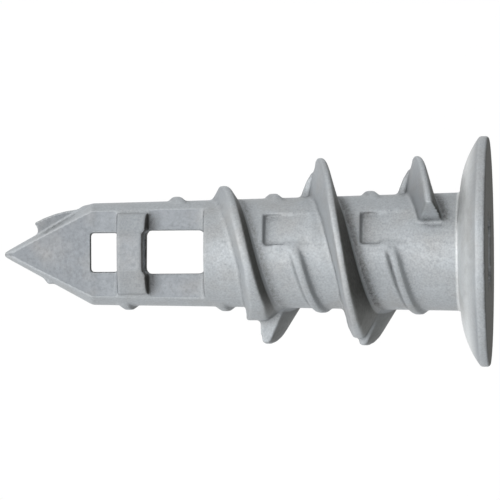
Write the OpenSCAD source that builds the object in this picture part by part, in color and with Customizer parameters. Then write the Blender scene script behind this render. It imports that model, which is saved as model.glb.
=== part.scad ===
// Self-drilling plasterboard plug, cast in zinc alloy as one piece.
// It stands on the flat face of its head, its axis is Z, and its drill tip points up.
// The casting is drawn from two die halves that part in the plane of X and Z.

/* [Overall] */
// Length from the face of the head to the drill tip
plug_len = 32; // [30:0.25:36]

/* [Head] */
// Diameter of the head
head_d = 15.2; // [13.5:0.1:18]
// Thickness of the head at its rim
rim_t = 0.6; // [0.4:0.05:1]
// Depth from the face to where the underside meets the barrel
head_depth = 1.9; // [1.7:0.05:2.4]
// How far the underside bulges past a straight cone
underside_bulge = 0.3; // [0.1:0.05:0.5]
// Chamfer on the edge of the face
face_chamfer = 0.08; // [0.04:0.01:0.15]

/* [Cross recess] */
// Span of the cross recess at the face
recess_span = 6.4; // [5.4:0.1:7.2]
// Span of the cross recess at its bottom
recess_floor_span = 4.6; // [3.8:0.1:5]
// Width of each arm of the recess
recess_arm_w = 1.25; // [0.8:0.05:1.6]
// Depth of the recess
recess_depth = 2.6; // [1.5:0.1:3]

/* [Barrel and bore] */
// Diameter of the barrel where it leaves the head
barrel_d = 7.8; // [7.4:0.1:8.4]
// Diameter of the barrel at its shoulder
shoulder_d = 7; // [6.6:0.1:7.4]
// Height of the shoulder, where the nose begins
shoulder_z = 18.7; // [18.3:0.1:19]
// Diameter of the screw bore
bore_d = 3.4; // [2.8:0.1:3.8]
// Diameter of the bore's flared mouth in the face
mouth_d = 4.4; // [4:0.1:5]
// Depth of the flared mouth
mouth_depth = 1; // [0.5:0.1:1.5]

/* [Flight] */
// Diameter over the flight at its first turn
flight_d = 12.66; // [11.5:0.1:14]
// How much the flight's diameter falls over each turn
flight_taper = 0.3; // [0:0.05:0.6]
// Diameter over the last half turn, towards the tip
last_flight_d = 8.9; // [8.4:0.1:10]
// Rise of the flight in one turn
pitch = 6.38; // [5.8:0.02:6.6]
// Height of the flight where it first passes the parting plane
first_crest_z = 4.76; // [4.4:0.02:5]
// Angle at which the flight starts, before that first pass
flight_start = 59; // [50:1:80]
// Number of half turns after the first pass
half_turns = 4; // [3:1:4]
// Width of the flight's crest
crest_w = 0.5; // [0.3:0.01:0.6]
// Width that each flank adds between crest and root
flank_w = 0.54; // [0.4:0.02:0.7]
// Draft of the front's tip-side flanks, where the die draws them straight
front_draft = 8; // [3:0.5:10]
// The same at the back
back_draft = 3; // [0:0.5:6]

/* [Ends of each half turn of the flight, at the parting plane] */
// Angle over which each half turn rises to its full height
half_lead_in = 37; // [25:1:50]
// Angle over which the extra widths and shifts fade out
end_run = 75; // [40:5:90]
// How far below full height a front half turn starts
front_drop = 0.6; // [0.3:0.05:0.9]
// How far towards the tip its crest starts
front_lift = 0.6; // [0.3:0.05:0.7]
// Its extra width on the tip side
front_start_w = 0.25; // [0:0.05:0.5]
// The same, where the low last half turn starts
last_start_w = 0.9; // [0.4:0.05:1]
// How far below full height a back half turn starts
back_drop = 0.8; // [0.3:0.05:1.1]
// How far towards the tip its crest starts
back_lift = 0.1; // [0:0.05:0.4]
// Extra width on the tip side where a back half turn ends
back_end_w = 0.1; // [0:0.05:0.5]
// How far below full height it ends
back_end_drop = 0.2; // [0:0.05:0.6]
// How far towards the tip its crest is shifted there
back_end_lift = 0.45; // [0:0.05:0.8]
// Its extra width at the root on the head side, halfway along that end
back_root_w = 0.75; // [0:0.05:0.9]

/* [Low ridge] */
// Distance from the flight to the low ridge, along the axis
ridge_offset = 3.08; // [2.9:0.02:3.3]
// Height of the low ridge over the barrel
ridge_h = 0.3; // [0.2:0.02:0.5]
// Width of the ridge at its foot
ridge_w = 1.1; // [0.9:0.05:1.6]
// Width of the ridge along its top
ridge_top_w = 0.42; // [0.2:0.02:0.6]
// Angle that each ridge runs past the parting plane
ridge_run = 101; // [60:1:110]
// Angle that each ridge reaches back behind the parting plane
ridge_lead = 26; // [15:1:35]
// Number of times that the ridge passes the parting plane
ridge_passes = 7; // [5:1:7]

/* [Shallow pockets] */
// Height of the first pocket's lower edge
pocket_z = 5.25; // [5:0.05:5.5]
// Length of each pocket along the axis
pocket_len = 3.15; // [2.4:0.05:3.4]
// Depth of each pocket at its tip side
pocket_depth = 0.3; // [0.1:0.02:0.4]
// Depth of each pocket at its head side
pocket_shallow = 0.06; // [0.02:0.02:0.1]
// Slope of the wall at its tip side, as its length along the axis
pocket_slope = 0.14; // [0.04:0.02:0.3]
// Angle from the front to the pocket's near side
pocket_near = 8.5; // [4:0.5:12]
// Angle from the front to the pocket's far side
pocket_far = 46; // [36:1:52]

/* [Nose and windows] */
// Thickness of the nose between its two flats
nose_t = 3.6; // [3.2:0.1:4]
// Diameter of the nose over its round edges, where the blade begins
nose_d = 6.7; // [6.4:0.1:6.9]
// Width of the long window
window_w = 2.84; // [2.4:0.02:2.9]
// Height of the bridge's lower edge
bridge_z = 22.76; // [22.3:0.02:22.9]
// Length of the bridge along the axis
bridge_len = 1.66; // [1.4:0.02:1.9]
// Width of the bridge
bridge_w = 5.3; // [4.8:0.1:5.6]
// Width of the flat along its front and along its back
bridge_flat_w = 2.2; // [1.5:0.1:3]
// Thickness of the bridge between those flats
bridge_t = 6.4; // [5.8:0.05:6.6]
// Thickness of the bridge at its two sides
bridge_side_t = 4.4; // [4.2:0.1:5]
// How far the foot of the bridge's sloped wall lies before the window's end
bridge_foot = 0.35; // [0.1:0.05:0.6]
// Slope of that wall, as its length along the axis
bridge_slope = 0.2; // [0.1:0.05:0.5]
// Width of the short window
short_window_w = 2.55; // [2.2:0.05:2.7]
// Length of the short window
short_window_len = 1.78; // [1.6:0.02:2.2]
// Angle at which the short window widens towards the back
short_window_draft = 3; // [1:0.5:5]
// How far the windows sit to one side of the axis
window_offset = 0.1; // [0:0.02:0.2]
// Radius in the long window's corners
window_r = 0.35; // [0.1:0.05:0.4]
// Radius in the short window's corners
short_window_r = 0.1; // [0.05:0.05:0.3]

/* [Drill blade] */
// Height at which the blade starts to narrow
blade_z = 26.2; // [26:0.05:26.5]
// Thickness of the blade at its tip
tip_t = 0.7; // [0.4:0.05:1]
// Width of the blade at its tip
tip_w = 0.3; // [0.2:0.05:0.5]
// Thickness of the two cutting teeth
tooth_t = 1.1; // [0.8:0.1:1.6]
// Height of the large tooth's point
tooth_z = 30.05; // [29.8:0.05:30.2]
// Reach of the large tooth's point from the axis
tooth_reach = 2.05; // [1.9:0.05:2.2]
// Height of the small tooth's point
small_tooth_z = 29.1; // [28.9:0.05:29.4]
// Reach of the small tooth's point from the axis
small_tooth_reach = 1.98; // [1.95:0.01:2.2]

/* [Hidden] */

$fn = 96;
cut = 0.5; // how far a cutting shape runs past what it cuts
through = 20; // wider than the whole plug
ring_step = 7.5; // angle between the rings of a swept flight
parting = 180; // angle between two passes of the parting plane
front = 270; // angle of the front, seen from the tip
fill_samples = 5; // points looked at along the die's draw
crest_flat = 0.6; // share of the crest's width that stays flat
end_round = 3; // how steeply a back half turn's blunt end widens from its crest
lead_power = 3; // how late the lead-in of a half turn rises
end_power = 4; // how late that end's drop comes in
widest_share = 1.2; // depth share past which a flank gets no wider
root_depth = 0.9; // how deep a flight or ridge is rooted in the wall
ridge_seat = 0.06; // how far the ridge's foot lies under the barrel's surface
ridge_end_rings = 2; // rings over which the ridge rises at its ends
ridge_sink = 0.2; // share of its height by which the ridge's ends lie in the wall
head_steps = 8; // straight steps in the arc of the head's underside
tooth_steps = 4; // straight steps in the arcs of the large tooth
tooth_hollow = 0.16; // depth of the hollow in front of the large tooth
tooth_bulge = 0.14; // bulge of the large tooth's back
tooth_back = 0.25; // how far below its point the large tooth's back meets the blade
small_tooth_half = 0.3; // half the small tooth's width at the blade's edge
small_tooth_root = 1; // half its width on the axis
draft_cut_len = 1; // length of the cutter that drafts the short window's end
blade_corner = [[0.05, 0], [0.15, 0.55], [0.4, 0.95]]; // inset and rise of the blade's corner
flight_end = half_turns*parting;
window_z = shoulder_z;
short_window_z = bridge_z + bridge_len;
bore_end = short_window_z + short_window_len;
back_shift = pitch/2; // the back die half sits half a pitch further along

// Points of an arc from a to b that bulges by s to the left of its chord, without its ends.
function arc_points(a, b, s, n) =
    let (chord = norm(b - a), r = (chord*chord/4 + s*s)/(2*s), half = asin(chord/2/r),
         along = (b - a)/chord, out = [-along[1], along[0]], centre = (a + b)/2 + out*(s - r))
    [for (i = [1:n - 1]) let (t = half*(2*i/n - 1)) centre + r*(cos(t)*out + sin(t)*along)];

// Radius of the barrel at a height, carried on along the nose to the blade.
function barrel_r(z) = z < shoulder_z
    ? lookup(z, [[head_depth, barrel_d/2], [shoulder_z, shoulder_d/2]])
    : lookup(z, [[shoulder_z, shoulder_d/2], [blade_z, nose_d/2]]);

// The flight. Angles run anticlockwise from +X, seen from the tip, and the front is at 270 degrees.
function flight_z(angle) = first_crest_z + pitch*angle/360;
function is_last_half(angle) = angle > flight_end - parting;
function full_crest_r(angle) =
    is_last_half(angle) ? last_flight_d/2 : flight_d/2 - flight_taper/2*max(0, angle)/360;

// Whether the half turn that starts at this angle lies at the front.
function is_front(from) = from < 0 || round(from/parting)%2 == 1;

// Shares that fall from 1, at the start or at the end of a half turn, to 0.
function near_start(angle, from, run) = from < 0 ? 0 : max(0, 1 - (angle - from)/run);
function near_end(angle, from) = max(0, 1 - (from + parting - angle)/end_run);

// Radius of the crest, which starts low in each half turn but the last.
function crest_r(angle, from) =
    let (full = full_crest_r(from + 1), left = near_start(angle, from, half_lead_in))
    left == 0 || is_last_half(from + 1)
        ? full - (is_front(from) ? 0 : back_end_drop*pow(near_end(angle, from), end_power))
        : full - (is_front(from) ? front_drop : back_drop)*(1 - pow(1 - left, lead_power));

// How far the crest is shifted towards the tip.
function crest_lift(angle, from) =
    (is_front(from) ? front_lift : back_lift)*near_start(angle, from, half_lead_in)
        + (is_front(from) ? 0 : back_end_lift*pow(near_end(angle, from), 2));

// Half the flight's width at a radius, under a crest at top_r on a barrel of radius foot_r.
function half_width(r, top_r, foot_r) =
    r >= top_r ? crest_w/2*crest_flat
        : crest_w/2 + flank_w*min(widest_share, (top_r - r)/(top_r - foot_r));

// Extra width of one side near the ends of a half turn, at a depth share u.
function end_width(angle, from, u, side) =
    let (start = near_start(angle, from, end_run), end = near_end(angle, from))
    is_front(from)
        ? (side < 0 ? 0 : start*(is_last_half(from + 1) ? last_start_w : front_start_w))
        : side < 0 ? back_root_w*u*4*end*(1 - end) : end*back_end_w*min(1, end_round*u);

// Height of one flank, side 1 towards the tip and side -1 towards the head. The flank that a die
// half can't reach is drawn straight, so it covers what lies further out along the die's draw.
function flank_z(angle, from, r, top_r, side, lift) =
    let (foot_r = barrel_r(flight_z(angle)), x = r*cos(angle), y = abs(r*sin(angle)),
         way = is_front(from) ? -1 : 1,
         outer = sqrt(max(0, top_r*top_r - x*x)),
         own = side*(flight_z(angle) + lift) + half_width(r, top_r, foot_r)
             + end_width(angle, from, (top_r - r)/(top_r - foot_r), side))
    side < 0 ? -own
        : max([for (i = [0:fill_samples])
            let (far = y + max(0, outer - y)*i/fill_samples,
                 turn = atan2(way*far, x) - atan2(way*y, x))
            i == 0 ? own
                : flight_z(angle + turn) + lift + half_width(min(top_r, norm([x, far])), top_r, foot_r)
                    + (far - y)*tan(way < 0 ? front_draft : back_draft)]);

// Depth shares of the points down each flank.
flank_shares = [0, 0.07, 0.4, 0.75, 0.93, 1];

// One ring of the flight: down the head-side flank from root to crest, then up the other one.
function flight_ring(angle, from) =
    let (top_r = crest_r(angle, from), foot_r = barrel_r(flight_z(angle)),
         hold = crest_lift(angle, from),
         last = len(flank_shares) - 1,
         low = [for (i = [last:-1:0])
             let (u = flank_shares[i], r = top_r - u*(top_r - foot_r))
             [r, flank_z(angle, from, r, top_r, -1, hold*(1 - u))]],
         high = [for (u = flank_shares)
             let (r = top_r - u*(top_r - foot_r))
             [r, flank_z(angle, from, r, top_r, 1, hold*(1 - u))]],
         root_r = foot_r - root_depth,
         ring = concat([[root_r, low[0][1]]], low, high, [[root_r, high[last][1]]]))
    [for (p = ring) [p[0]*cos(angle), p[0]*sin(angle), p[1]]];

// Joins rings of equal length into one closed solid.
module swept(rings) {
    n = len(rings[0]);
    last = len(rings) - 1;
    sides = [for (i = [0:last - 1], j = [0:n - 1])
        let (a = i*n + j, b = i*n + (j + 1)%n, c = a + n, d = b + n)
        each [[a, b, d], [a, d, c]]];
    polyhedron(
        points = [for (ring = rings) each ring],
        faces = concat([[for (j = [n - 1:-1:0]) j]], sides, [[for (j = [0:n - 1]) last*n + j]]),
        convexity = 8);
}

// The part of the flight that one die half forms, up to the parting plane.
module half_flight(from, to) {
    n = ceil((to - from)/ring_step);
    swept([for (i = [0:n]) flight_ring(from + (to - from)*i/n, from)]);
}

module flight() {
    half_flight(-flight_start, 0);
    for (i = [0:half_turns - 1]) half_flight(i*parting, (i + 1)*parting);
}

// One run of the low ridge, with ends that sink into the wall.
module ridge(from, to) {
    n = ceil((to - from)/ring_step);
    swept([for (i = [0:n])
        let (angle = from + (to - from)*i/n, z = flight_z(angle) + ridge_offset,
             rise = min(1, min(i, n - i)/ridge_end_rings - ridge_sink),
             foot_r = barrel_r(z), top_r = foot_r + ridge_h*rise,
             root_r = foot_r - root_depth)
        [for (p = [[root_r, -ridge_w/2], [foot_r - ridge_seat, -ridge_w/2],
                   [top_r, -ridge_top_w/2], [top_r, ridge_top_w/2],
                   [foot_r - ridge_seat, ridge_w/2], [root_r, ridge_w/2]])
            [p[0]*cos(angle), p[0]*sin(angle), z + p[1]]]]);
}

module ridges() {
    for (i = [0:ridge_passes - 1]) {
        passes = (i - 1)*parting;
        on_barrel = flight_z(passes + ridge_run) + ridge_offset < shoulder_z - ridge_w;
        ridge(passes - ridge_lead, passes + (on_barrel ? ridge_run : ridge_lead));
    }
}

module revolved_body() {
    rotate_extrude() polygon(concat(
        [[0, 0], [head_d/2 - face_chamfer, 0], [head_d/2, face_chamfer], [head_d/2, rim_t]],
        arc_points([head_d/2, rim_t], [barrel_d/2, head_depth], -underside_bulge, head_steps),
        [[barrel_d/2, head_depth], [shoulder_d/2, shoulder_z], [0, shoulder_z]]));
}

// The nose and blade: a round, pointed form between two flats that close towards the tip.
module nose() {
    intersection() {
        rotate_extrude() polygon([[0, shoulder_z - cut], [shoulder_d/2, shoulder_z - cut],
            [shoulder_d/2, shoulder_z], [nose_d/2, blade_z], [tip_w/2, plug_len], [0, plug_len]]);
        rotate([90, 0, 90]) translate([0, 0, -through/2]) linear_extrude(through)
            polygon([[-nose_t/2, shoulder_z - cut], [nose_t/2, shoulder_z - cut],
                [nose_t/2, bore_end], [tip_t/2, plug_len], [-tip_t/2, plug_len],
                [-nose_t/2, bore_end]]);
    }
}

// The bridge between the windows: flat front and back, sloped sides, and a sloped wall towards the
// head.
module bridge() {
    foot_z = bridge_z - bridge_foot;
    top_z = bridge_z + bridge_len;
    half = [[bridge_w/2, -bridge_side_t/2], [bridge_w/2, bridge_side_t/2],
        [bridge_flat_w/2, bridge_t/2]];
    intersection() {
        translate([0, 0, foot_z]) linear_extrude(top_z - foot_z)
            polygon(concat([[bridge_flat_w/2, -bridge_t/2]], half, [for (p = half) -p],
                [[-bridge_flat_w/2, -bridge_t/2]]));
        rotate([90, 0, 90]) translate([0, 0, -through/2]) linear_extrude(through)
            polygon([[-nose_t/2, foot_z], [nose_t/2, foot_z],
                [bridge_t/2, foot_z + bridge_slope], [bridge_t/2, top_z],
                [-bridge_t/2, top_z], [-bridge_t/2, foot_z + bridge_slope]]);
    }
}

// Reach of the blade's edge from the axis at a height.
function blade_reach(z) = lookup(z, [[blade_z, nose_d/2], [plug_len, tip_w/2]]);

// A flat plate in the parting plane, its points given as reach and height.
module plate(points) {
    rotate([90, 0, 0]) translate([0, 0, -tooth_t/2]) linear_extrude(tooth_t) polygon(points);
}

module teeth() {
    back_z = tooth_z - tooth_back;
    corner = [for (p = blade_corner) [nose_d/2 - p[0], blade_z + p[1]]];
    point = [tooth_reach, tooth_z];
    back = [blade_reach(back_z), back_z];
    plate(concat([[0, blade_z]], corner,
        arc_points(corner[len(corner) - 1], point, -tooth_hollow, tooth_steps), [point],
        arc_points(point, back, tooth_bulge, tooth_steps), [back, [0, back_z]]));
    low_z = small_tooth_z - small_tooth_half;
    high_z = small_tooth_z + small_tooth_half;
    plate([[0, small_tooth_z + small_tooth_root], [0, small_tooth_z - small_tooth_root],
        [-blade_reach(low_z), low_z], [-small_tooth_reach, small_tooth_z],
        [-blade_reach(high_z), high_z]]);
}

// A box with rounded corners that cuts right through the nose, from front to back.
module window(len, w, r) {
    rotate([90, 0, 0]) translate([window_offset, 0, -through/2]) linear_extrude(through) union() {
        translate([-w/2 + r, 0]) square([w - 2*r, len]);
        translate([-w/2, r]) square([w, len - 2*r]);
        for (x = [-1, 1], y = [r, len - r])
            translate([x*(w/2 - r), y]) circle(r, $fn = 24);
    }
}

module windows() {
    translate([0, 0, window_z]) window(bridge_z - window_z, window_w, window_r);
    translate([0, 0, short_window_z]) window(short_window_len, short_window_w, short_window_r);
    translate([0, -nose_t/2, bore_end]) rotate([short_window_draft, 0, 0])
        translate([0, 0, -draft_cut_len]) window(draft_cut_len, short_window_w, short_window_r);
}

// A shallow pocket in the barrel's wall, from its near side to its far side.
module pocket(z) {
    low_r = barrel_r(z);
    high_r = barrel_r(z + pocket_len);
    translate([0, 0, z]) rotate([0, 0, front + pocket_near])
        rotate_extrude(angle = pocket_far - pocket_near)
            polygon([[low_r - pocket_shallow, 0], [high_r + cut, 0],
                [high_r + cut, pocket_len + cut*pocket_slope/pocket_depth],
                [high_r - pocket_depth, pocket_len - pocket_slope]]);
}

module pockets() {
    for (i = [0, 1]) {
        pocket(pocket_z + i*pitch);
        rotate([0, 0, 180]) pocket(pocket_z + i*pitch + back_shift);
    }
}

module screw_hole() {
    translate([0, 0, -cut]) cylinder(h = bore_end + cut, d = bore_d);
    translate([0, 0, -cut]) cylinder(h = cut, d = mouth_d);
    cylinder(h = mouth_depth, d1 = mouth_d, d2 = bore_d);
}

module cross_recess() {
    intersection() {
        translate([0, 0, -cut]) union() {
            for (a = [0, 90]) rotate([0, 0, a + 45])
                translate([-recess_span/2, -recess_arm_w/2, 0])
                    cube([recess_span, recess_arm_w, recess_depth + cut]);
        }
        translate([0, 0, -cut]) cylinder(h = recess_depth + cut,
            r1 = recess_span/2 + cut*(recess_span - recess_floor_span)/2/recess_depth,
            r2 = recess_floor_span/2);
    }
}

module plug_body() {
    color("silver") difference() {
        union() {
            difference() {
                revolved_body();
                pockets();
            }
            nose();
            bridge();
            teeth();
            flight();
            ridges();
        }
        screw_hole();
        cross_recess();
        windows();
    }
}

plug_body();
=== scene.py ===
"""A die-cast plasterboard plug, standing on the flat face of its head.

The casting's form comes from the frame. This script gives it the soft edges and the grainy skin of
bare die-cast zinc, then sets the floor, the light and the camera of the photograph.
"""

import logging
import math
from dataclasses import dataclass, field
from enum import Enum

import bpy
from mathutils import Matrix, Vector


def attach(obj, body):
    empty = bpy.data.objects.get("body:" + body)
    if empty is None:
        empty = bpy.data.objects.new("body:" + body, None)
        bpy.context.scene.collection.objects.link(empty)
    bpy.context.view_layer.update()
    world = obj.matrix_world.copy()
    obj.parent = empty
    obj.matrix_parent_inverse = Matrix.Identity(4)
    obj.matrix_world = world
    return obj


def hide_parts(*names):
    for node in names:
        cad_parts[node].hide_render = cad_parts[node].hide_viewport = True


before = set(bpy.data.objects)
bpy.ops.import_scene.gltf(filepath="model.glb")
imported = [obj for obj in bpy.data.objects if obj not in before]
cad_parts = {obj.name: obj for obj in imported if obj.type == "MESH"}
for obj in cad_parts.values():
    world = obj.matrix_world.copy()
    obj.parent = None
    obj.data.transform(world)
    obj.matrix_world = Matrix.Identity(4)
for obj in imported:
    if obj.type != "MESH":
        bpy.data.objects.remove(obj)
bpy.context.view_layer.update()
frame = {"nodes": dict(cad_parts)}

MM = 0.001
LOG = logging.getLogger("plasterboard_plug")


class Side(Enum):
    """The sides from which a lamp can light the plug."""

    FRONT = "front"
    TOP = "top"
    LEFT = "left"
    RIGHT = "right"


@dataclass(frozen=True)
class Span:
    """The stretch of a measure over which a share grows from nothing to all."""

    none_at: float
    all_at: float

    def limits(self, unit: float = 1.0) -> dict[str, float]:
        """Gives the stretch as the inputs of a node that maps a range.

        Args:
            unit: The size of one unit, such as MM.

        Returns:
            The inputs' names and values.
        """
        return {"From_Min": self.none_at * unit, "From_Max": self.all_at * unit}


@dataclass(frozen=True)
class Pattern:
    """A noise pattern: the real size of its features, its finer layers and their weight."""

    size_mm: float
    layers: float
    weight: float


def linear(colour: str) -> tuple[float, float, float, float]:
    """Turns an sRGB hex colour into the linear colour that a shader takes.

    Args:
        colour: Six hex digits, with or without a leading hash.

    Returns:
        Red, green, blue and an alpha of 1.
    """
    digits = colour.lstrip("#")
    channels = [int(digits[i : i + 2], 16) / 255 for i in (0, 2, 4)]
    turned = [c / 12.92 if c <= 0.04045 else ((c + 0.055) / 1.055) ** 2.4 for c in channels]
    return (turned[0], turned[1], turned[2], 1.0)


def add_node(
    owner: bpy.types.Material | bpy.types.World,
    kind: str,
    settings: dict[str, object] | None = None,
    out: int | str = 0,
    **links: object,
) -> bpy.types.NodeSocket | None:
    """Adds a shader node with its settings and its inputs.

    Args:
        owner: The material or the world whose tree gets the node.
        kind: The node's type name.
        settings: Properties to set on the node itself.
        out: Which of the node's outputs is wanted, by number or name.
        links: Inputs, as i and a number or as a name with underscores for spaces, and an output
            socket or a value for each.

    Returns:
        The wanted output, or None from a node that has no output.
    """
    tree = owner.node_tree
    node = tree.nodes.new(kind)
    for name, value in (settings or {}).items():
        setattr(node, name, value)
    for name, value in links.items():
        by_number = name[0] == "i" and name[1:].isdigit()
        key = int(name[1:]) if by_number else name.replace("_", " ")
        if isinstance(value, bpy.types.NodeSocket):
            tree.links.new(value, node.inputs[key])
        else:
            node.inputs[key].default_value = value
    return node.outputs[out] if node.outputs else None


@dataclass(frozen=True)
class Reading:
    """What the finish reads at a point of the casting.

    Height is along the axis, beside is how far the point lies to the left or right of it, and
    forward how far to the front or back. The two facings are parts of the point's normal, towards
    the tip and to either side. The last three are the noise patterns.
    """

    place: bpy.types.NodeSocket
    height: bpy.types.NodeSocket
    beside: bpy.types.NodeSocket
    forward: bpy.types.NodeSocket
    faces_tip: bpy.types.NodeSocket
    faces_beside: bpy.types.NodeSocket
    grain: bpy.types.NodeSocket
    fleck: bpy.types.NodeSocket
    cloud: bpy.types.NodeSocket


@dataclass(frozen=True)
class CastZinc:
    """Bare die-cast zinc alloy, as it leaves the die.

    The skin is a matt light grey metal. The barrel and the head have a fine sparkling grain, as
    spark-eroded die cavities leave it. The nose, the bridge and the flight's flanks are smoother,
    and the nose and the bridge a little darker, as from ground inserts. The blade is painted darker
    and the faces that look towards the tip a little darker too, as painted shade, and the head's
    flange is painted brighter, as painted light. Faces that look towards the head get painted
    shade, and a brown-grey painted shadow lies in the corners and at the foot of the flight.
    """

    name: str = "bare_die_cast_zinc"
    barrel_colour: str = "#B1B5B8"
    nose_colour: str = "#999DA1"
    # The blade's darker colour is painted shade, so its sloping faces catch no more light than the
    # rails.
    shaded_blade_colour: str = "#898D91"
    # The flange's brighter colour is painted light.
    lit_flange_colour: str = "#D5D8D9"
    # Painted shade on the faces that look towards the head.
    painted_shade_colour: str = "#686864"
    # A brown-grey painted shadow for the corners and the foot of the flight.
    painted_shadow_colour: str = "#322F2A"
    tarnish_colour: str = "#A39F9A"

    # The real grain is finer than the render shows, so it is drawn 0.22 mm wide.
    grain: Pattern = Pattern(0.22, 2.5, 0.6)
    fleck: Pattern = Pattern(0.121, 1.0, 0.5)
    cloud: Pattern = Pattern(2.4, 3.0, 0.55)
    grain_depth_mm: float = 0.014
    bump_rough: float = 0.7
    bump_smooth: float = 0.2
    noise_middle: Span = Span(0.3, 0.7)
    roughness: float = 0.62
    rough_less: float = 0.08
    rough_more: float = 0.1
    sparkle_low: float = 0.9
    sparkle_high: float = 1.07
    calm_share: float = 0.6
    calm_level: float = 0.97
    tarnish_patches: Span = Span(0.45, 0.75)
    tarnish_most: float = 0.35

    # Where each region starts and ends, in millimetres: above the head's face, or off the axis.
    nose_mm: Span = Span(18.2, 19.4)
    blade_mm: Span = Span(25.4, 26.6)
    bridge_mm: Span = Span(1.9, 2.05)
    flange_top_mm: Span = Span(2.15, 2.0)
    flange_rim_mm: Span = Span(0.7, 1.3)
    wall_top_mm: Span = Span(19.0, 18.5)
    wall_foot_mm: Span = Span(1.9, 2.3)
    flight_foot_mm: Span = Span(2.6, 3.2)
    outer_mm: Span = Span(2.6, 4.2)
    inner_mm: Span = Span(4.2, 2.6)
    sheltered_mm: Span = Span(4.8, 3.4)
    low_relief_mm: Span = Span(0.32, 0.22)

    # The barrel's radius, carried on to the head's face, and what it loses per unit of height.
    barrel_r_mm: float = 3.945
    barrel_taper: float = 0.0238

    # Ways that a face can look: the part of its normal along an axis.
    flat_face: Span = Span(0.32, 0.14)
    flank_face: Span = Span(0.35, 0.6)
    tip_shade_facing: Span = Span(0.35, 0.75)
    head_side: Span = Span(-0.35, -0.7)
    painted_shade_facing: Span = Span(-0.25, -1.0)

    # How much of each layer goes on, and what thins it out.
    bridge_least: float = 0.42
    bridge_more: float = 0.4
    # How much painted shade the faces that look towards the tip take, near the axis and far out.
    tip_shade_least: float = 0.15
    tip_shade_more: float = 0.6
    painted_shade_most: float = 0.95
    relief_spared: float = 0.6
    # The painted shadow: how far it looks, how it leans to the tip, its rays, grit and cover.
    shadow_reach_mm: float = 1.0
    shadow_lean: float = 0.8
    shadow_rays: int = 8
    shadow_grit: float = 0.5
    shadow_cover: Span = Span(1.12, 0.66)
    shadow_least: float = 0.28
    shadow_more: float = 0.65
    flank_shade: float = 0.65
    flange_spared: float = 0.3

    def make(self) -> bpy.types.Material:
        """Builds the material.

        Returns:
            The finished material.
        """
        material = bpy.data.materials.new(self.name)
        material.use_nodes = True
        material.node_tree.nodes.clear()
        at = self.read(material)
        nose = self.nose_share(material, at)
        flange = self.flange_share(material, at)
        proud = self.proud_share(material, at)
        colour = self.metal_colour(material, at, nose, flange)
        # Over the metal: warm tarnish, painted shade on faces towards the head, and a brown-grey
        # painted shadow.
        layers = (
            (self.tarnish_share(material, at), self.tarnish_colour),
            (self.painted_shade_share(material, at, proud), self.painted_shade_colour),
            (self.painted_shadow_share(material, at, flange, proud), self.painted_shadow_colour),
        )
        for share, laid_on in layers:
            colour = add_node(
                material, "ShaderNodeMix", {"data_type": "RGBA"}, out=2,
                Factor=share, i6=colour, i7=linear(laid_on),
            )
        smooth = self.smooth_share(material, at, nose)
        colour = add_node(
            material, "ShaderNodeVectorMath", {"operation": "SCALE"},
            Vector=colour, Scale=self.sparkle(material, at, smooth),
        )
        rough = add_node(
            material, "ShaderNodeMapRange", Value=at.grain, **self.noise_middle.limits(),
            To_Min=self.roughness - self.rough_less, To_Max=self.roughness + self.rough_more,
        )
        strength = add_node(
            material, "ShaderNodeMapRange", Value=smooth,
            To_Min=self.bump_rough, To_Max=self.bump_smooth,
        )
        bump = add_node(
            material, "ShaderNodeBump", Strength=strength,
            Distance=self.grain_depth_mm * MM, Height=at.grain,
        )
        shader = add_node(
            material, "ShaderNodeBsdfPrincipled",
            Base_Color=colour, Metallic=1.0, Roughness=rough, Normal=bump,
        )
        add_node(material, "ShaderNodeOutputMaterial", Surface=shader)
        return material

    def read(self, material: bpy.types.Material) -> Reading:
        """Adds the nodes that the rest of the finish reads.

        Args:
            material: The material that gets them.

        Returns:
            The place and the facing of a point, and the three patterns there.
        """
        place = add_node(material, "ShaderNodeTexCoord", out="Object")
        facing = add_node(material, "ShaderNodeTexCoord", out="Normal")
        where = add_node(material, "ShaderNodeSeparateXYZ", Vector=place).node.outputs
        faces = add_node(material, "ShaderNodeSeparateXYZ", Vector=facing).node.outputs
        beside, forward, faces_beside = (
            add_node(material, "ShaderNodeMath", {"operation": "ABSOLUTE"}, i0=value)
            for value in (where["X"], where["Y"], faces["X"])
        )
        grain, fleck, cloud = (
            add_node(
                material, "ShaderNodeTexNoise", Vector=place,
                Scale=1 / (each.size_mm * MM), Detail=each.layers, Roughness=each.weight,
            )
            for each in (self.grain, self.fleck, self.cloud)
        )
        return Reading(
            place, where["Z"], beside, forward, faces["Z"], faces_beside, grain, fleck, cloud
        )

    def nose_share(self, material: bpy.types.Material, at: Reading) -> bpy.types.NodeSocket:
        """Finds the ground flat faces past the shoulder, and the bridge with its sloping ends.

        Args:
            material: The material that gets the nodes.
            at: What is read at the point.

        Returns:
            The share.
        """
        high = add_node(
            material, "ShaderNodeMapRange", Value=at.height, **self.nose_mm.limits(MM)
        )
        flat = add_node(
            material, "ShaderNodeMapRange", Value=at.faces_beside, **self.flat_face.limits()
        )
        on_bridge = add_node(
            material, "ShaderNodeMapRange", Value=at.forward, **self.bridge_mm.limits(MM)
        )
        there = add_node(
            material, "ShaderNodeMath", {"operation": "MULTIPLY_ADD"},
            i0=flat, i1=self.bridge_more, i2=self.bridge_least,
        )
        flat = add_node(
            material, "ShaderNodeMix", {"data_type": "FLOAT"}, i0=on_bridge, i2=flat, i3=there
        )
        return add_node(material, "ShaderNodeMath", {"operation": "MULTIPLY"}, i0=high, i1=flat)

    def flange_share(self, material: bpy.types.Material, at: Reading) -> bpy.types.NodeSocket:
        """Finds the bulged side of the head, between its rim and the barrel.

        Args:
            material: The material that gets the nodes.
            at: What is read at the point.

        Returns:
            The share.
        """
        below, above = (
            add_node(material, "ShaderNodeMapRange", Value=at.height, **span.limits(MM))
            for span in (self.flange_top_mm, self.flange_rim_mm)
        )
        return add_node(material, "ShaderNodeMath", {"operation": "MULTIPLY"}, i0=below, i1=above)

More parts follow.
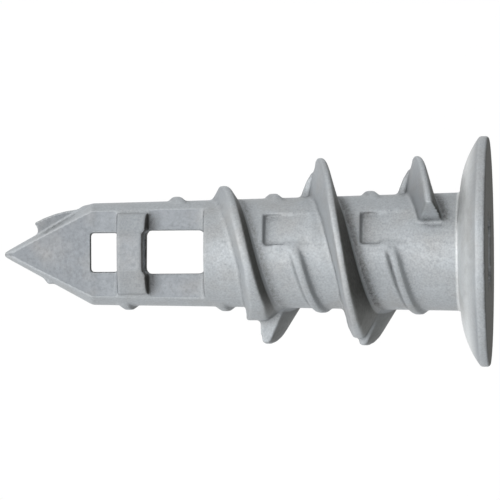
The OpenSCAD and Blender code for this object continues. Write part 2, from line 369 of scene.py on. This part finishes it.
    def proud_share(self, material: bpy.types.Material, at: Reading) -> bpy.types.NodeSocket:
        """Finds all but the barrel's low relief: its pockets and the ridges between the turns.

        Args:
            material: The material that gets the nodes.
            at: What is read at the point.

        Returns:
            The share, which is 1 on the flight, the nose and the head.
        """
        around = add_node(
            material, "ShaderNodeVectorMath", {"operation": "MULTIPLY"},
            i0=at.place, i1=(1.0, 1.0, 0.0),
        )
        radius = add_node(
            material, "ShaderNodeVectorMath", {"operation": "LENGTH"}, out="Value", i0=around
        )
        untapered = add_node(
            material, "ShaderNodeMath", {"operation": "MULTIPLY_ADD"},
            i0=at.height, i1=self.barrel_taper, i2=radius,
        )
        relief = Span(
            self.barrel_r_mm + self.low_relief_mm.none_at,
            self.barrel_r_mm + self.low_relief_mm.all_at,
        )
        low = add_node(material, "ShaderNodeMapRange", Value=untapered, **relief.limits(MM))
        for end in (self.wall_top_mm, self.wall_foot_mm):
            inside = add_node(
                material, "ShaderNodeMapRange", Value=at.height, **end.limits(MM)
            )
            low = add_node(
                material, "ShaderNodeMath", {"operation": "MULTIPLY"}, i0=low, i1=inside
            )
        return add_node(
            material, "ShaderNodeMath", {"operation": "MULTIPLY_ADD"},
            i0=low, i1=-self.relief_spared, i2=1.0,
        )

    def metal_colour(
        self,
        material: bpy.types.Material,
        at: Reading,
        nose: bpy.types.NodeSocket,
        flange: bpy.types.NodeSocket,
    ) -> bpy.types.NodeSocket:
        """Mixes the metal's colour, which differs with how the die was made there, with painted
        shade on the blade and on faces that look towards the tip, and painted light on the flange.

        Args:
            material: The material that gets the nodes.
            at: What is read at the point.
            nose: The share of the nose's ground faces.
            flange: The share of the head's flange.

        Returns:
            The colour.
        """
        # The blade takes a darker colour than the rails: painted shade.
        blade = add_node(
            material, "ShaderNodeMapRange", Value=at.height, **self.blade_mm.limits(MM)
        )
        ground = add_node(
            material, "ShaderNodeMix", {"data_type": "RGBA"}, out=2,
            Factor=blade, i6=linear(self.nose_colour), i7=linear(self.shaded_blade_colour),
        )
        # Painted shade: faces that look towards the tip take the nose's darker colour, most far
        # out.
        tipward = add_node(
            material, "ShaderNodeMapRange", Value=at.faces_tip, **self.tip_shade_facing.limits()
        )
        outer = add_node(
            material, "ShaderNodeMapRange", Value=at.beside, **self.outer_mm.limits(MM)
        )
        outer = add_node(
            material, "ShaderNodeMath", {"operation": "MULTIPLY_ADD"},
            i0=outer, i1=self.tip_shade_more, i2=self.tip_shade_least,
        )
        flanks = add_node(
            material, "ShaderNodeMath", {"operation": "MULTIPLY"}, i0=tipward, i1=outer
        )
        colour = linear(self.barrel_colour)
        # Over the barrel: the nose's colour, painted shade on tip-facing faces, and the flange's
        # painted light.
        layers = (
            (nose, ground),
            (flanks, linear(self.nose_colour)),
            (flange, linear(self.lit_flange_colour)),
        )
        for share, laid_on in layers:
            colour = add_node(
                material, "ShaderNodeMix", {"data_type": "RGBA"}, out=2,
                Factor=share, i6=colour, i7=laid_on,
            )
        return colour

    def tarnish_share(self, material: bpy.types.Material, at: Reading) -> bpy.types.NodeSocket:
        """Spreads the faint warm clouds that bare zinc gets in air.

        Args:
            material: The material that gets the nodes.
            at: What is read at the point.

        Returns:
            The share.
        """
        return add_node(
            material, "ShaderNodeMapRange", Value=at.cloud,
            **self.tarnish_patches.limits(), To_Max=self.tarnish_most,
        )

    def painted_shade_share(
        self, material: bpy.types.Material, at: Reading, proud: bpy.types.NodeSocket
    ) -> bpy.types.NodeSocket:
        """Finds the faces that look towards the head, where shade is painted.

        Args:
            material: The material that gets the nodes.
            at: What is read at the point.
            proud: The share that isn't low relief.

        Returns:
            The share.
        """
        # Painted shade: the more a face looks towards the head, the darker it is painted.
        shaded = add_node(
            material, "ShaderNodeMapRange", Value=at.faces_tip,
            **self.painted_shade_facing.limits(), To_Max=self.painted_shade_most,
        )
        return add_node(material, "ShaderNodeMath", {"operation": "MULTIPLY"}, i0=shaded, i1=proud)

    def painted_shadow_share(
        self,
        material: bpy.types.Material,
        at: Reading,
        flange: bpy.types.NodeSocket,
        proud: bpy.types.NodeSocket,
    ) -> bpy.types.NodeSocket:
        """Lays a brown-grey painted shadow in corners and painted shade on the sheltered flanks at
        front and back.

        What hides a point is looked for a little towards the tip, so that the foot of the flight
        gets more of the painted shadow on the head's side, as though lit from the tip.

        Args:
            material: The material that gets the nodes.
            at: What is read at the point.
            flange: The share of the head's flange, which gets less of the painted shadow.
            proud: The share that isn't low relief.

        Returns:
            The share.
        """
        # Painted shadow: occlusion looked for towards the tip darkens the head's side of each rise.
        tipward = add_node(
            material, "ShaderNodeVectorTransform",
            {"vector_type": "NORMAL", "convert_from": "OBJECT", "convert_to": "WORLD"},
            Vector=(0.0, 0.0, 1.0),
        )
        outward = add_node(material, "ShaderNodeNewGeometry", out="Normal")
        leaning = add_node(
            material, "ShaderNodeVectorMath", {"operation": "MULTIPLY_ADD"},
            i0=tipward, i1=(self.shadow_lean,) * 3, i2=outward,
        )
        leaning = add_node(
            material, "ShaderNodeVectorMath", {"operation": "NORMALIZE"}, i0=leaning
        )
        openness = add_node(
            material, "ShaderNodeAmbientOcclusion",
            {"only_local": True, "samples": self.shadow_rays}, out="AO",
            Distance=self.shadow_reach_mm * MM, Normal=leaning,
        )
        for value, weight in ((flange, self.flange_spared), (at.grain, self.shadow_grit)):
            openness = add_node(
                material, "ShaderNodeMath", {"operation": "MULTIPLY_ADD"},
                i0=value, i1=weight, i2=openness,
            )
        corners = add_node(
            material, "ShaderNodeMapRange", Value=openness, **self.shadow_cover.limits()
        )
        kept = add_node(
            material, "ShaderNodeMapRange", Value=at.beside, **self.sheltered_mm.limits(MM)
        )
        kept = add_node(
            material, "ShaderNodeMath", {"operation": "MULTIPLY_ADD"},
            i0=kept, i1=self.shadow_more, i2=self.shadow_least,
        )
        corners = add_node(
            material, "ShaderNodeMath", {"operation": "MULTIPLY"}, i0=corners, i1=kept
        )
        # Painted shade on the flanks that look towards the head, near the middle.
        flanks = add_node(
            material, "ShaderNodeMapRange", Value=at.faces_tip, **self.head_side.limits()
        )
        off_head = add_node(
            material, "ShaderNodeMapRange", Value=at.height, **self.flight_foot_mm.limits(MM)
        )
        middle = add_node(
            material, "ShaderNodeMapRange", Value=at.beside, **self.inner_mm.limits(MM)
        )
        for factor in (off_head, middle, proud, self.flank_shade):
            flanks = add_node(
                material, "ShaderNodeMath", {"operation": "MULTIPLY"}, i0=flanks, i1=factor
            )
        return add_node(
            material, "ShaderNodeMath", {"operation": "MAXIMUM"}, i0=corners, i1=flanks
        )

    def smooth_share(
        self, material: bpy.types.Material, at: Reading, nose: bpy.types.NodeSocket
    ) -> bpy.types.NodeSocket:
        """Finds the smoother faces: the nose's and all that look along the axis.

        Args:
            material: The material that gets the nodes.
            at: What is read at the point.
            nose: The share of the nose's ground faces.

        Returns:
            The share.
        """
        along = add_node(
            material, "ShaderNodeMath", {"operation": "ABSOLUTE"}, i0=at.faces_tip
        )
        flanks = add_node(
            material, "ShaderNodeMapRange", Value=along, **self.flank_face.limits()
        )
        return add_node(material, "ShaderNodeMath", {"operation": "MAXIMUM"}, i0=nose, i1=flanks)

    def sparkle(
        self, material: bpy.types.Material, at: Reading, smooth: bpy.types.NodeSocket
    ) -> bpy.types.NodeSocket:
        """Makes the flecks that are a little lighter or darker than the metal around them.

        Args:
            material: The material that gets the nodes.
            at: What is read at the point.
            smooth: The share of the smoother faces, where the flecks are fainter.

        Returns:
            The factor for the colour, about 1.
        """
        flecks = add_node(
            material, "ShaderNodeMapRange", Value=at.fleck, **self.noise_middle.limits(),
            To_Min=self.sparkle_low, To_Max=self.sparkle_high,
        )
        calm = add_node(
            material, "ShaderNodeMath", {"operation": "MULTIPLY"}, i0=smooth, i1=self.calm_share
        )
        return add_node(
            material, "ShaderNodeMix", {"data_type": "FLOAT"},
            i0=calm, i2=flecks, i3=self.calm_level,
        )


@dataclass
class Casting:
    """The plug itself: one piece of zinc with the small radii that a casting has on every edge."""

    node: str = "plug_body"
    grid_mm: float = 0.105
    ease_passes: int = 5
    ease_factor: float = 0.5
    kept_share: float = 0.55
    weld_mm: float = 0.0005
    smooth_below: float = math.radians(40)
    finish: CastZinc = field(default_factory=CastZinc)

    def build(self, nodes: dict[str, bpy.types.Object]) -> bpy.types.Object:
        """Makes the eased casting in the place of the frame's sharp one.

        Args:
            nodes: The frame's objects by name.

        Returns:
            The finished piece.
        """
        piece = self.copy_of(nodes[self.node])
        self.merge(piece)
        self.ease(piece)
        piece.data.materials.clear()
        piece.data.materials.append(self.finish.make())
        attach(piece, "root")
        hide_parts(self.node)
        LOG.info("%s: %d faces", piece.name, len(piece.data.polygons))
        return piece

    def copy_of(self, source: bpy.types.Object) -> bpy.types.Object:
        """Copies a frame object, with a mesh of its own.

        Args:
            source: The frame's object, which stays as it is.

        Returns:
            The copy, alone selected and active.
        """
        bpy.ops.object.select_all(action="DESELECT")
        piece = bpy.data.objects.new("zinc_casting", source.data.copy())
        bpy.context.scene.collection.objects.link(piece)
        piece.select_set(True)
        bpy.context.view_layer.objects.active = piece
        return piece

    def merge(self, piece: bpy.types.Object) -> None:
        """Joins the loose triangles of the copy into one closed skin.

        Args:
            piece: The copy, selected and active.
        """
        bpy.ops.object.mode_set(mode="EDIT")
        bpy.ops.mesh.select_all(action="SELECT")
        bpy.ops.mesh.remove_doubles(threshold=self.weld_mm * MM)
        bpy.ops.mesh.normals_make_consistent(inside=False)
        bpy.ops.object.mode_set(mode="OBJECT")

    def ease(self, piece: bpy.types.Object) -> None:
        """Rounds every edge a little, as molten metal and a worn die do.

        Args:
            piece: The merged skin, selected and active.
        """
        remesh = piece.modifiers.new("fine grid", "REMESH")
        remesh.mode = "VOXEL"
        remesh.voxel_size = self.grid_mm * MM
        remesh.use_smooth_shade = True
        smooth = piece.modifiers.new("ease", "SMOOTH")
        smooth.factor = self.ease_factor
        smooth.iterations = self.ease_passes
        thin = piece.modifiers.new("thin out", "DECIMATE")
        thin.ratio = self.kept_share
        for name in [m.name for m in piece.modifiers]:
            bpy.ops.object.modifier_apply(modifier=name)
        bpy.ops.object.shade_smooth_by_angle(angle=self.smooth_below)


@dataclass(frozen=True)
class Lamp:
    """A square soft lamp that faces the middle of the plug, its place and size in metres."""

    side: Side
    place: tuple[float, float, float]
    size: float
    watts: float
    aim_height_mm: float = 16.0

    def build(self) -> None:
        """Hangs the lamp."""
        bpy.ops.object.light_add(type="AREA", location=self.place)
        lamp = bpy.context.active_object
        lamp.name = self.side.value
        lamp.data.shape = "SQUARE"
        lamp.data.size = self.size
        lamp.data.energy = self.watts
        aim = Vector((0.0, 0.0, self.aim_height_mm * MM)) - Vector(self.place)
        lamp.rotation_euler = aim.to_track_quat("-Z", "Y").to_euler()


@dataclass
class Studio:
    """A plain pale floor, white surroundings and soft light from above and in front.

    The floor lies around the head's face and not under it, so that the face gets the light that
    the photograph shows on it.
    """

    floor_reach: float = 0.6
    floor_colour: str = "#E6E7E8"
    floor_gap_mm: float = 7.55
    floor_sides: int = 128
    white: str = "#FFFFFF"
    soft_light: float = 0.5
    ground_level: float = 0.45
    sky_level: float = 1.0
    zenith_gain: float = 0.1
    lamps: tuple[Lamp, ...] = (
        Lamp(Side.FRONT, (0.0, -0.55, 0.08), 0.5, 1.75),
        Lamp(Side.TOP, (0.0, -0.2, 0.6), 0.4, 1.3),
        Lamp(Side.LEFT, (-0.5, -0.15, 0.12), 0.4, 0.3),
        Lamp(Side.RIGHT, (0.5, -0.15, 0.12), 0.4, 0.3),
    )

    def build(self) -> None:
        """Makes the floor, the surroundings and the lamps."""
        self.floor()
        self.surroundings()
        for lamp in self.lamps:
            lamp.build()
        LOG.info("studio: floor, surroundings and %d soft lamps", len(self.lamps))

    def floor(self) -> None:
        """Lays the floor around the head's face."""
        bpy.ops.object.select_all(action="DESELECT")
        gap = self.floor_gap_mm * MM
        bpy.ops.mesh.primitive_circle_add(
            vertices=self.floor_sides, radius=gap, fill_type="NOTHING", location=(0, 0, 0)
        )
        plane = bpy.context.active_object
        plane.name = "floor"
        grow = self.floor_reach / gap
        bpy.ops.object.mode_set(mode="EDIT")
        bpy.ops.mesh.select_all(action="SELECT")
        bpy.ops.mesh.extrude_region()
        bpy.ops.transform.resize(value=(grow, grow, 1.0))
        bpy.ops.object.mode_set(mode="OBJECT")
        if plane.data.polygons[0].normal.z < 0:
            plane.data.flip_normals()
        plane.data.materials.append(self.floor_paint())

    def floor_paint(self) -> bpy.types.Material:
        """Makes the floor's matt paint, which is clear from below, so that it hides nothing there.

        Returns:
            The finished material.
        """
        material = bpy.data.materials.new("pale_floor")
        material.use_nodes = True
        material.node_tree.nodes.clear()
        paint = add_node(material, "ShaderNodeBsdfDiffuse", Color=linear(self.floor_colour))
        clear = add_node(material, "ShaderNodeBsdfTransparent")
        under = add_node(material, "ShaderNodeNewGeometry", out="Backfacing")
        both = add_node(material, "ShaderNodeMixShader", Fac=under, i1=paint, i2=clear)
        add_node(material, "ShaderNodeOutputMaterial", Surface=both)
        return material

    def surroundings(self) -> None:
        """Surrounds the scene with white, which the metal shows too, and with softer light."""
        world = bpy.data.worlds.new("surroundings")
        world.use_nodes = True
        bpy.context.scene.world = world
        world.node_tree.nodes.clear()
        path = add_node(world, "ShaderNodeLightPath").node.outputs
        seen = path["Is Camera Ray"]
        for other in ("Is Glossy Ray", "Is Transmission Ray"):
            seen = add_node(
                world, "ShaderNodeMath", {"operation": "MAXIMUM"}, i0=seen, i1=path[other]
            )
        way = add_node(world, "ShaderNodeTexCoord", out="Generated")
        rise = add_node(world, "ShaderNodeSeparateXYZ", out="Z", Vector=way)
        above = add_node(
            world, "ShaderNodeMath", {"operation": "GREATER_THAN"}, i0=rise, i1=0.0
        )
        sky = add_node(
            world, "ShaderNodeMath", {"operation": "MULTIPLY_ADD"},
            i0=rise, i1=self.zenith_gain, i2=self.sky_level,
        )
        level = add_node(
            world, "ShaderNodeMix", {"data_type": "FLOAT"},
            i0=above, i2=self.ground_level, i3=sky,
        )
        dimmed = add_node(
            world, "ShaderNodeMath", {"operation": "MULTIPLY"}, i0=level, i1=self.soft_light
        )
        strength = add_node(
            world, "ShaderNodeMix", {"data_type": "FLOAT"}, i0=seen, i2=dimmed, i3=level
        )
        light = add_node(
            world, "ShaderNodeBackground", Color=linear(self.white), Strength=strength
        )
        add_node(world, "ShaderNodeOutputWorld", Surface=light)


@dataclass
class Viewpoint:
    """The photograph's view: from the front, a little from the head's side, the tip to the left."""

    pixels: int = 500
    pixels_per_mm: float = 15.176
    middle_px: tuple[float, float] = (246.99, 253.11)
    middle_z_mm: float = 16.0
    below_deg: float = 3.1
    roll_deg: float = 0.39
    lens_mm: float = 1200.0
    sensor_mm: float = 36.0
    nearest: float = 0.01

    def build(self) -> None:
        """Places the camera and makes it the scene's own."""
        below = math.radians(self.below_deg)
        roll = math.radians(self.roll_deg)
        forward = Vector((0.0, math.cos(below), math.sin(below)))
        level_up = Vector((1.0, 0.0, 0.0))
        level_right = forward.cross(level_up)
        right = math.cos(roll) * level_right - math.sin(roll) * level_up
        up = math.cos(roll) * level_up + math.sin(roll) * level_right

        width = self.pixels / self.pixels_per_mm * MM
        distance = width * self.lens_mm / self.sensor_mm
        off_right = (self.pixels / 2 - self.middle_px[0]) / self.pixels_per_mm * MM
        off_up = (self.middle_px[1] - self.pixels / 2) / self.pixels_per_mm * MM
        middle = Vector((0.0, 0.0, self.middle_z_mm * MM))
        place = middle + right * off_right + up * off_up - forward * distance

        data = bpy.data.cameras.new("camera")
        data.lens = self.lens_mm
        data.sensor_width = self.sensor_mm
        data.clip_start = self.nearest
        camera = bpy.data.objects.new("camera", data)
        turn = Matrix((right, up, -forward)).transposed().to_4x4()
        camera.matrix_world = Matrix.Translation(place) @ turn
        bpy.context.scene.collection.objects.link(camera)
        bpy.context.scene.camera = camera
        LOG.info("camera: %.0f mm lens, %.2f m away", self.lens_mm, distance)


def main() -> None:
    """Builds the scene in order."""
    logging.basicConfig(level=logging.INFO, format="%(name)s: %(message)s")
    bpy.context.scene.view_settings.view_transform = "Standard"
    Viewpoint().build()
    Casting().build(frame["nodes"])
    Studio().build()


if __name__ == "__main__":
    main()
